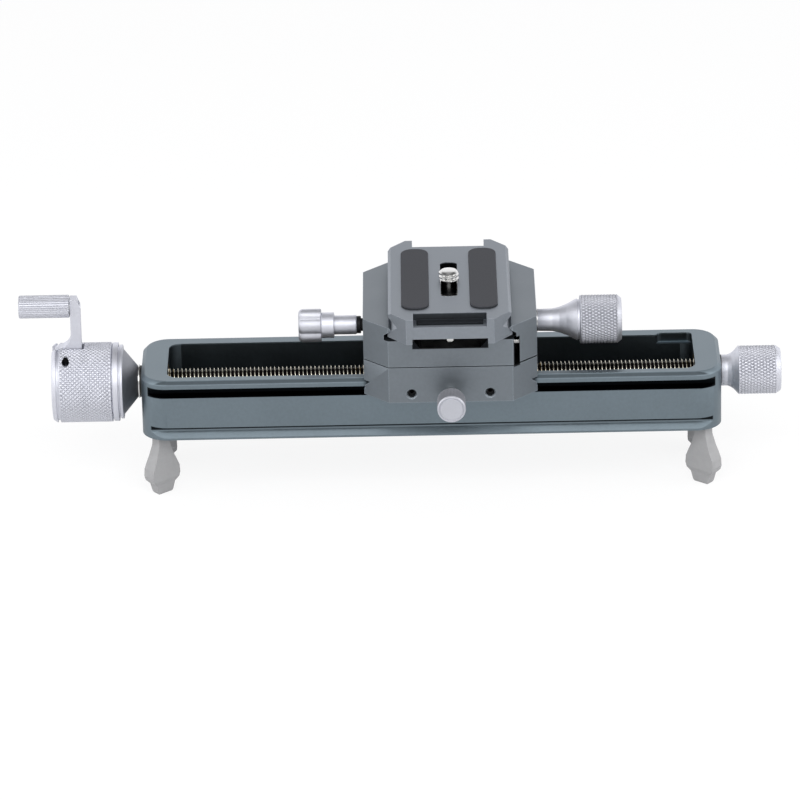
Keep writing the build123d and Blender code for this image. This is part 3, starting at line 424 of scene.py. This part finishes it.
def around(x0, x1, z, reach, strength):
    """The box round a stretch of a turned piece whose axis runs along X."""
    return (x0, -reach, z - reach), (x1, reach, z + reach), strength


# painted shade inside the rail's slot and its pocket, on its front chamfer, in its side grooves and under
# the waists of its foot
slot_upper = ((-81.55, -14.35, 10.0), (81.55, 12.75, 19.1), 0.62)
slot_lower = ((-81.55, -14.35, 4.0), (81.55, 12.75, 10.0), 0.93)
slot_pocket = ((70.2, 12.0, 16.75), (81.7, 14.5, 19.1), 0.72)
front_chamfer = ((-86.0, -18.4, 18.45), (86.0, -16.75, 19.42), 0.6)
side_grooves = both_sides(15.2, 17.68, 13.97, 16.98, 0.99)
foot_waists = both_sides(15.9, 17.55, 2.9, 4.12, 0.95)

# painted shade on the clamp's floor and in the gap by the jaw
clamp_floor = at_carriage(11.6, -ALL, ALL, 32.7, 35.45, 0.95)
jaw_gap = ((CARRIAGE_X + 19.35, -26.55, 26.0), (CARRIAGE_X + 21.25, 26.55, 35.7), 0.95)

# painted shade in the plate's slot, its notches and its dovetail grooves
plate_recesses = [
    at_carriage(2.75, -13.9, 13.9, 37.0, 44.45, 0.97),
    at_carriage(10.4, -30.75, -26.0, 40.0, 42.1, 0.72),
    at_carriage(11.4, -27.3, -26.0, 42.25, 44.5, 0.78),
    at_carriage(10.4, 26.0, 30.75, 40.0, 42.1, 0.9),
    at_carriage(11.6, -32.2, 32.2, 36.0, 38.45, 0.95),
]
# painted dark reflection on the hub's cone
hub_cone = around(-95.27, -90.6, SCREW_Z, 10.4, 0.58)
# painted shade on the grips of the handle, the wing and the clamp's wheel, and on the side and face of the
# lock knob
handle_grip = around(-127.0, -111.2, HANDLE_Z, 5.0, 0.14)
wing_head = around(-40.8, -33.6, WING_Z, 5.3, 0.14)
clamp_wheel_grip = around(46.3, 59.2, CLAMP_SCREW_Z, 7.6, 0.1)
lock_side = at_carriage(4.5, -38.7, -32.0, LOCK_Z - 4.5, LOCK_Z + 4.5, 0.5)
lock_face = at_carriage(4.5, -39.4, -38.8, LOCK_Z - 4.5, LOCK_Z + 4.5, 0.18)
# painted shade in the hole of the crank's pin, in two steps under the curve of the knob
pin_hole_low = ((PIN_X - 1.2, -7.4, PIN_Z - 1.2), (PIN_X + 1.2, 7.4, PIN_Z), 0.98)
pin_hole_high = ((PIN_X - 1.2, -5.4, PIN_Z), (PIN_X + 1.2, 5.4, PIN_Z + 1.2), 0.98)
# painted shade on the neck of the camera screw, inside the plate's slot
camera_screw_neck = at_carriage(4.0, -4.0, 4.0, 38.0, 44.8, 0.85)
# painted shade on the sides of the pads, below their top
pad_sides = ((-ALL, -ALL, 0.0), (ALL, ALL, 44.87), 0.9)

# colours of the painted shade and painted dark reflection
SHADE_BLACK = (0.0012, 0.0016, 0.0022)
SHADE_NAVY = (0.02, 0.024, 0.03)


def rail_anodised(finish):
    finish.grain(950, 0.014, tint=0.07)
    finish.painted_shade([slot_upper, slot_lower, slot_pocket, front_chamfer, *side_grooves, *foot_waists], SHADE_BLACK)


def block_anodised(finish):
    finish.grain(950, 0.016, tint=0.07)
    # painted highlight along the edges
    finish.edge_highlight(0.3, 1.7)
    finish.painted_shade([clamp_floor, jaw_gap], SHADE_BLACK)


def plate_anodised(finish):
    finish.grain(950, 0.018, tint=0.07)
    # painted highlight along the edges
    finish.edge_highlight(0.25, 1.4)
    finish.painted_shade(plate_recesses, SHADE_BLACK)


def satin_aluminium(finish):
    finish.grain(800, 0.01, tint=0.04, spread=0.05)
    finish.brushed((4000, 60, 60), 0.005)
    # painted shade in the deep parts of the knurls and flutes
    finish.shade_grooves((0.16, 0.16, 0.18), 0.42)
    grips = [handle_grip, wing_head, clamp_wheel_grip, lock_side, lock_face]
    finish.painted_shade([hub_cone, pin_hole_low, pin_hole_high, *grips], SHADE_NAVY)


def bright_steel(finish):
    finish.grain(500, 0.005, tint=0.03, spread=0.05)
    finish.brushed((60, 60, 5000), 0.003)
    finish.painted_shade([camera_screw_neck], SHADE_BLACK)


def screw_steel(finish):
    finish.grain(500, 0.004, tint=0.08, spread=0.05)
    # painted shade at the root of the thread and a painted dark reflection along the screw
    finish.shade_thread_root((0, SCREW_Z), 3.7, 3.87, (0.012, 0.011, 0.010))
    finish.dark_reflection_line(60, 0.085, (0.03, 0.028, 0.024), 0.9)


def black_steel(finish):
    finish.grain(500, 0.01)


def bearing_brass(finish):
    finish.grain(500, 0.008)


def polymer(finish):
    finish.grain(300, 0.02)


def black_rubber(finish):
    finish.grain(300, 0.01)


def pad_rubber(finish):
    finish.grain(1500, 0.03, tint=0.12)
    finish.painted_shade([pad_sides], SHADE_BLACK)


def foot_plastic(finish):
    finish.grain(600, 0.02)


# slot: colour, metallic, roughness, specular level and what the finish holds
FINISHES = {
    "rail_anodised": ((0.178, 0.220, 0.248), 1.0, 0.42, 0.5, rail_anodised),
    "block_anodised": ((0.198, 0.222, 0.244), 1.0, 0.47, 0.5, block_anodised),
    "plate_anodised": ((0.262, 0.286, 0.316), 1.0, 0.5, 0.5, plate_anodised),
    "satin_aluminium": ((0.675, 0.685, 0.74), 1.0, 0.53, 0.5, satin_aluminium),
    "bright_steel": ((0.60, 0.60, 0.59), 1.0, 0.22, 0.5, bright_steel),
    "screw_steel": ((0.80, 0.76, 0.64), 1.0, 0.2, 0.5, screw_steel),
    "black_steel": ((0.006, 0.006, 0.007), 0.0, 0.5, 0.25, black_steel),
    "bearing_brass": ((0.60, 0.44, 0.20), 1.0, 0.3, 0.5, bearing_brass),
    "slide_polymer": ((0.70, 0.69, 0.64), 0.0, 0.55, 0.5, polymer),
    "black_polymer": ((0.012, 0.012, 0.013), 0.0, 0.5, 0.5, polymer),
    "black_rubber": ((0.006, 0.006, 0.007), 0.0, 0.45, 0.2, black_rubber),
    "pad_rubber": ((0.038, 0.040, 0.047), 0.0, 0.66, 0.25, pad_rubber),
    "foot_plastic": ((0.34, 0.34, 0.345), 0.0, 0.42, 0.5, foot_plastic),
}
materials = {}
for slot, (colour, metallic, roughness, specular, dress) in FINISHES.items():
    coat = Finish(slot, colour, metallic, roughness, specular)
    dress(coat)
    materials[slot] = coat.done()


def paint(obj, slot):
    """Give a piece the finish of its slot in the record."""
    obj.data.materials.clear()
    obj.data.materials.append(materials[slot])


slot_of = {row["node"]: row["material_slot"] for row in frame["record"]["subparts"]}
body_of = {}
for body, members in frame["record"]["behaviour"]["bodies"].items():
    for member in members:
        body_of[member] = body
for name, obj in nodes.items():
    paint(obj, slot_of[name])


# ---------------------------------------------------------------- pieces
def stands_for(obj, node):
    """The new piece rides on the node's body and takes its place and finish."""
    paint(obj, slot_of[node])
    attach(obj, body_of[node])
    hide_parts(node)


def bevelled(node, width, segments=2, angle=28.0):
    """Round the edges of a CAD piece a little."""
    obj = nodes[node]
    weld = obj.modifiers.new("weld", "WELD")
    weld.merge_threshold = 2e-6
    bevel = obj.modifiers.new("bevel", "BEVEL")
    bevel.width = width * MM
    bevel.segments = segments
    bevel.limit_method = "ANGLE"
    bevel.angle_limit = math.radians(angle)


def rounded_edges():
    """Small rounded edges on the milled pieces, larger ones on the moulded feet."""
    for node in ("rail_body", "carriage_block"):
        bevelled(node, 0.2)
    for node in ("clamp_base", "moving_jaw", "camera_plate", "crank_lever"):
        bevelled(node, 0.18)
    for node in ("foot_front_left", "foot_front_right", "foot_rear_left", "foot_rear_right"):
        bevelled(node, 0.55, 3, 20.0)


def threaded_screw():
    """Lead screw, whose thread runs out just before the end walls of the slot."""
    radius = 3.9
    depth = 0.66
    pitch = 1.25
    rows_a_turn = 10
    half = 81.25
    count = int(2 * half / pitch * rows_a_turn)
    rows = [(-98.0, radius), (-half - 0.15, radius)]
    rows += [(-half + i * pitch / rows_a_turn, radius) for i in range(count + 1)]
    rows += [(half + 0.15, radius), (103.0, radius)]

    def thread(x, r, a):
        if abs(x) > half + 0.05:
            return r
        fade = min(1.0, (half + 0.1 - abs(x)) / 0.2)
        return r - depth * fade * (1 - wave(x / pitch + a / TURN))

    stands_for(lathe("threaded_screw", rows, (0, SCREW_Z), 56, thread), "lead_screw")


def crank_knob():
    """Hollow knurled knob, with a slot for the lever, one for the folded handle and the pin's hole."""
    bore = 8.2
    radius = 12.35
    knurl_start = -114.75
    reach = 14
    rows, knurl = knurled(knurl_start, -98.9, radius, starts=58, depth=0.3, step=0.12, slope=1.06, flat=0.5)
    rim = [(-117.2, bore), (-117.2, 11.5), (-116.1, 12.3), (-115.8, 12.3), (-115.8, 11.6),
           (-115.0, 11.6), (-115.0, 12.25), (knurl_start, radius)]
    profile = softened(rim, 0.12)[:-1] + rows + [(-98.7, 12.05), (-98.7, bore)]
    knob = lathe("knurled_crank_knob", profile, (0, SCREW_Z), 696, knurl, close=True, full=0.42)
    cut(knob, [
        box_mesh(-119, -107.1, -2.2, 2.2, SCREW_Z, SCREW_Z + reach),
        box_mesh(-119, -97.0, -4.0, 4.0, SCREW_Z - reach, SCREW_Z),
        rod_mesh((PIN_X, -reach, PIN_Z), (PIN_X, reach, PIN_Z), 1.12),
    ])
    sharp_by_angle(knob, 50)
    stands_for(knob, "crank_knob")


def crank_hub():
    """Hub behind the crank knob: two rings and a cone, with a set screw's hole at the back."""
    bore = 3.92
    reach = 14
    profile = softened([(-98.05, bore), (-98.05, 0.01), (-99.2, 0.01), (-99.2, 8.15), (-98.7, 8.15),
                        (-98.7, 11.4), (-98.35, 11.4), (-98.35, 12.2), (-96.75, 12.2), (-96.75, 10.9),
                        (-96.2, 10.9), (-96.2, 11.5), (-95.4, 11.5), (-95.3, 10.2), (-90.75, 4.7),
                        (-90.75, bore)], 0.1)
    hub = lathe("turned_hub", profile, (0, SCREW_Z), 144, close=True)
    cut(hub, [
        box_mesh(-101, -98.35, -4.0, 4.0, SCREW_Z - reach, SCREW_Z - 2.0),
        rod_mesh((-93.05, 3.0, SCREW_Z), (-93.05, reach, SCREW_Z), 1.27),
    ])
    sharp_by_angle(hub, 40)
    stands_for(hub, "crank_hub")


def end_wheel():
    """Plain hand wheel at the right end, with a set screw's hole at the back."""
    bore = 3.92
    radius = 7.5
    knurl_start = 95.25
    knurl_end = 106.7
    face = 108.3
    rows, knurl = knurled(knurl_start, knurl_end, radius, starts=44, depth=0.3, step=0.11, slope=1.8,
                          flat=0.5, dots=True)
    neck = [(103.2, 0.01), (103.2, bore), (89.9, bore), (89.9, 4.8), (91.8, 4.8), (93.0, 5.3), (94.0, 6.1),
            (95.0, 7.2), (knurl_start, radius)]
    end = [(knurl_end, radius), (face, 6.5), (face, 0.01)]
    profile = softened(neck, 0.15)[:-1] + rows + softened(end, 0.15)[1:]
    wheel = lathe("knurled_end_wheel", profile, (0, SCREW_Z), 440, knurl, close=True, full=0.2)
    cut(wheel, [rod_mesh((98.0, 3.0, SCREW_Z), (98.0, 9, SCREW_Z), 1.27)])
    sharp_by_angle(wheel, 50)
    stands_for(wheel, "right_knob")


def clamp_wheel():
    """Knob of the clamp, with a long flared neck."""
    bore = 3.02
    radius = 7.5
    knurl_start = 46.45
    knurl_end = 57.8
    face = 59.1
    rows, knurl = knurled(knurl_start, knurl_end, radius, starts=44, depth=0.34, step=0.11, slope=1.8,
                          flat=0.55, dots=True)
    neck = [(50.0, 0.01), (50.0, bore), (33.15, bore), (33.15, 3.4), (37.7, 3.5), (39.9, 3.95), (42.1, 4.8),
            (45.4, 6.5), (45.4, 6.2), (46.2, 6.2), (46.2, 7.2), (knurl_start, radius)]
    end = [(knurl_end, radius), (face, 6.4), (face, 0.01)]
    profile = softened(neck, 0.12)[:-1] + rows + softened(end, 0.15)[1:]
    wheel = lathe("knurled_clamp_wheel", profile, (0, CLAMP_SCREW_Z), 440, knurl, close=True, full=0.22)
    sharp_by_angle(wheel, 50)
    stands_for(wheel, "clamp_knob")


def lock_knob():
    """Knob of the carriage lock, with a ring turned into its face."""
    radius = 4.36
    knurl_start = -38.75
    face = -39.2
    rows, knurl = knurled(knurl_start, -32.75, radius, starts=30, depth=0.3, step=0.1, slope=1.0, flat=0.6)
    front = [(face, 3.3), (face, 3.45), (-38.95, 3.5), (-38.95, 3.75), (face, 3.8), (face, 4.06),
             (-38.85, 4.3), (knurl_start, radius)]
    profile = [(face, 0.01)] + softened(front, 0.06)[:-1] + rows
    profile += [(-32.6, 4.2), (-32.4, 4.06), (-32.4, 2.02), (-37.4, 2.02), (-37.4, 0.01)]
    centre = (CARRIAGE_X, LOCK_Z)
    knob = lathe("knurled_lock_knob", profile, centre, 272, knurl, close=True, axis="Y", full=0.15)
    sharp_by_angle(knob, 50)
    stands_for(knob, "lock_knob")


# winged knob of the swivel lock
WING_TURN = math.radians(75)
WING_SEGMENTS = 144
WING_REACH = 5.15
WING_LOBE = 2.3
WING_CORE = 3.2


def wing_row(x, radius_at):
    """One ring of points of the winged knob at an X."""
    turns = [TURN * k / WING_SEGMENTS for k in range(WING_SEGMENTS)]
    return [(x, radius_at(a) * math.cos(a), WING_Z + radius_at(a) * math.sin(a)) for a in turns]


def wing_ring(x, grow):
    """Section of the winged head at an X: a bar with round ends over a round core, shrunk by grow."""
    lobe = WING_LOBE - grow
    core = WING_CORE - grow
    reach = WING_REACH - WING_LOBE

    def radius_at(a):
        c = abs(math.cos(a - WING_TURN))
        s = abs(math.sin(a - WING_TURN))
        side = lobe / max(s, 1e-6)
        if side * c > reach:
            side = reach * c + math.sqrt(max(0.0, lobe * lobe - (reach * s) ** 2))
        return max(core, side)

    return wing_row(x, radius_at)


def wing_knob():
    """Winged head on a round sleeve, with a blind hole for the screw."""
    head = [(-40.7, 1.3), (-40.62, 0.9), (-40.4, 0.5), (-40.1, 0.25), (-39.7, 0.08), (-39.3, 0.0),
            (-34.0, 0.0), (-33.75, 0.08), (-33.6, 0.3)]
    sleeve = [(-33.6, 3.8), (-33.45, 3.95), (-29.8, 3.95), (-29.65, 3.8), (-29.65, 2.02), (-38.0, 2.02),
              (-38.0, 0.02)]
    rings = [wing_ring(x, grow) for x, grow in head]
    rings += [wing_row(x, lambda a, r=r: r) for x, r in sleeve]
    wing = sharp_by_angle(ringed("lobed_wing_knob", rings, False), 35)
    stands_for(wing, "wing_knob")


def crank_handle():
    """Fluted sleeve of the handle, with a counterbore for the axle's head."""
    bore = 1.66
    radius = 3.54
    start = -126.6
    flutes = 30

    def fluted(x, r, a):
        if r < 3.5:
            return r
        return r - 0.15 * (1 - min(1.0, wave(flutes * a / TURN) / 0.42))

    profile = [(-125.45, bore), (-125.45, 2.72), (-126.8, 2.72), (-126.8, 3.3), (start, radius)]
    profile += [(start + 0.5 * i, radius) for i in range(1, 31)]
    profile += [(-111.4, radius), (-111.25, 3.4), (-111.25, bore)]
    handle = lathe("fluted_handle", profile, (0, HANDLE_Z), 540, fluted, close=True, full=0.36)
    sharp_by_angle(handle, 50)
    stands_for(handle, "handle_sleeve")


def handle_axle():
    """Axle of the handle, whose end lies inside the lever."""
    radius = 1.6
    inner_end = -109.2
    profile = softened([(-126.5, 0.01), (-126.5, 2.6), (-125.5, 2.6), (-125.5, radius), (inner_end, radius),
                        (inner_end, 0.01)], 0.1)
    axle = lathe("turned_axle", profile, (0, HANDLE_Z), 96)
    sharp_by_angle(axle, 40)
    stands_for(axle, "handle_axle")


def camera_screw():
    """Quarter-inch camera screw with its flat head."""
    crest = 3.1
    pitch = 1.27
    low = 44.95
    step = 0.06

    def thread(z, r, a):
        if z < low or z > 47.25:
            return r
        return r - 0.5 * (1 - min(1.0, 1.35 * wave(z / pitch - a / TURN)))

    profile = [(39.0, 0.01), (39.0, 6.2), (39.2, 6.4), (41.4, 6.4), (41.6, 6.2), (41.6, 2.5), (44.8, 2.5),
               (44.9, 2.6)]
    profile += [(low + step * i, crest) for i in range(39)]
    profile += [(47.3, 2.8), (47.6, 2.45), (47.7, 2.2), (47.7, 0.01)]
    tip = lathe("threaded_camera_screw", profile, (CARRIAGE_X, 0), 96, thread, axis="Z")
    sharp_by_angle(tip, 45)
    stands_for(tip, "camera_screw")


rounded_edges()
threaded_screw()
crank_knob()
crank_hub()
end_wheel()
clamp_wheel()
lock_knob()
wing_knob()
crank_handle()
handle_axle()
camera_screw()


# ---------------------------------------------------------------- camera
def place_camera():
    """Camera fitted to the photo: its angles, its distance from the screw's middle and its shift."""
    tilt = math.radians(23.401)
    yaw = math.radians(-0.308)
    roll = math.radians(-1.211)
    distance = 1825.39
    shift_right = -9.807
    shift_up = -7.375
    focal_pixels = 5884
    picture_pixels = 800
    look = Vector((math.sin(yaw) * math.cos(tilt), math.cos(yaw) * math.cos(tilt), -math.sin(tilt)))
    right = look.cross(Vector((0, 0, 1))).normalized()
    up = right.cross(look)
    place = look * -distance + right * shift_right + up * shift_up + Vector((0, 0, SCREW_Z))
    side = right * math.cos(roll) + up * math.sin(roll)
    top = right * -math.sin(roll) + up * math.cos(roll)
    lens = bpy.data.cameras.new("camera")
    lens.sensor_width = 36
    lens.lens = focal_pixels / picture_pixels * lens.sensor_width
    lens.clip_start = 0.05
    lens.clip_end = 50
    camera = bpy.data.objects.new("camera", lens)
    camera.matrix_world = Matrix((
        (side.x, top.x, -look.x, place.x * MM),
        (side.y, top.y, -look.y, place.y * MM),
        (side.z, top.z, -look.z, place.z * MM),
        (0, 0, 0, 1),
    ))
    scene.collection.objects.link(camera)
    scene.camera = camera


place_camera()
scene.view_settings.view_transform = "Standard"


# ---------------------------------------------------------------- light
def lamp(name, azimuth, elevation, distance, width, height, power):
    """Soft rectangular lamp that looks at the object; azimuth 0 is in front. Metres and watts."""
    data = bpy.data.lights.new(name, "AREA")
    data.shape = "RECTANGLE"
    data.size = width
    data.size_y = height
    data.energy = power
    obj = bpy.data.objects.new(name, data)
    a = math.radians(azimuth)
    e = math.radians(elevation)
    back = Vector((math.sin(a) * math.cos(e), -math.cos(a) * math.cos(e), math.sin(e)))
    obj.location = back * distance
    obj.rotation_mode = "QUATERNION"
    obj.rotation_quaternion = back.to_track_quat("Z", "Y")
    scene.collection.objects.link(obj)


lamp("front_softbox", 0, 44, 1.3, 1.3, 0.8, 9.6)
lamp("left_softbox", -72, 28, 0.6, 0.3, 0.4, 0.8)
lamp("right_softbox", 72, 28, 0.6, 0.3, 0.4, 0.8)


def wall(tree, height, stops):
    """Grey levels of one studio wall by the height of the direction, as (height, level) stops."""
    ramp = tree.nodes.new("ShaderNodeValToRGB")
    tree.links.new(height, ramp.inputs["Fac"])
    for index, (at, level) in enumerate(stops):
        element = ramp.color_ramp.elements[index] if index < 2 else ramp.color_ramp.elements.new(at)
        element.position = at
        element.color = (level, level, level * 1.02, 1)
    return ramp.outputs["Color"]


def mixed(tree, factor, a):
    """Mix node from the colour socket a, with its second colour still open."""
    mix = tree.nodes.new("ShaderNodeMix")
    mix.data_type = "RGBA"
    tree.links.new(factor, mix.inputs["Factor"])
    tree.links.new(a, mix.inputs["A"])
    return mix


def studio():
    """Walls that only reflections and light see, bright behind the object; the camera sees white."""
    world = bpy.data.worlds.new("studio")
    world.use_nodes = True
    scene.world = world
    tree = world.node_tree
    background = tree.nodes["Background"]
    direction = tree.nodes.new("ShaderNodeTexCoord")
    split = tree.nodes.new("ShaderNodeSeparateXYZ")
    tree.links.new(direction.outputs["Generated"], split.inputs["Vector"])
    height = split.outputs["Z"]
    behind = wall(tree, height, ((0.0, 1.38), (1.0, 0.6), (0.55, 1.3), (0.74, 0.16), (0.93, 0.16)))
    ahead = wall(tree, height, ((0.0, 0.68), (1.0, 0.6), (0.3, 0.6), (0.8, 0.45)))
    facing = tree.nodes.new("ShaderNodeMapRange")
    facing.inputs["From Min"].default_value = -0.3
    facing.inputs["From Max"].default_value = 0.3
    tree.links.new(split.outputs["Y"], facing.inputs["Value"])
    walls = mixed(tree, facing.outputs["Result"], ahead)
    tree.links.new(behind, walls.inputs["B"])
    light_path = tree.nodes.new("ShaderNodeLightPath")
    seen = mixed(tree, light_path.outputs["Is Camera Ray"], walls.outputs["Result"])
    seen.inputs["B"].default_value = (1, 1, 1, 1)
    tree.links.new(seen.outputs["Result"], background.inputs["Color"])
    background.inputs["Strength"].default_value = 1.0


studio()


# ---------------------------------------------------------------- floor
def white_paper():
    """What the camera sees of the paper is mostly its own white, so that the shadow stays faint."""
    paper = bpy.data.materials.new("paper")
    paper.use_nodes = True
    tree = paper.node_tree
    matt = tree.nodes["Principled BSDF"]
    matt.inputs["Base Color"].default_value = (0.83, 0.83, 0.83, 1)
    matt.inputs["Roughness"].default_value = 0.9
    matt.inputs["Specular IOR Level"].default_value = 0.1
    thin = tree.nodes.new("ShaderNodeBsdfDiffuse")
    thin.inputs["Color"].default_value = (0.16, 0.16, 0.16, 1)
    glow = tree.nodes.new("ShaderNodeEmission")
    glow.inputs["Color"].default_value = (0.85, 0.85, 0.85, 1)
    glow.inputs["Strength"].default_value = 1.0
    both = tree.nodes.new("ShaderNodeAddShader")
    tree.links.new(thin.outputs["BSDF"], both.inputs[0])
    tree.links.new(glow.outputs["Emission"], both.inputs[1])
    light_path = tree.nodes.new("ShaderNodeLightPath")
    choice = tree.nodes.new("ShaderNodeMixShader")
    tree.links.new(light_path.outputs["Is Camera Ray"], choice.inputs["Fac"])
    tree.links.new(matt.outputs["BSDF"], choice.inputs[1])
    tree.links.new(both.outputs["Shader"], choice.inputs[2])
    tree.links.new(choice.outputs["Shader"], tree.nodes["Material Output"].inputs["Surface"])
    return paper


FLOOR_Z = -19.52
FLOOR_HALF = 4000
corners = [(x * FLOOR_HALF, y * FLOOR_HALF, FLOOR_Z) for x, y in ((-1, -1), (1, -1), (1, 1), (-1, 1))]
floor = mesh_object("floor", corners, [(0, 1, 2, 3)], smooth=False)
floor.data.materials.append(white_paper())
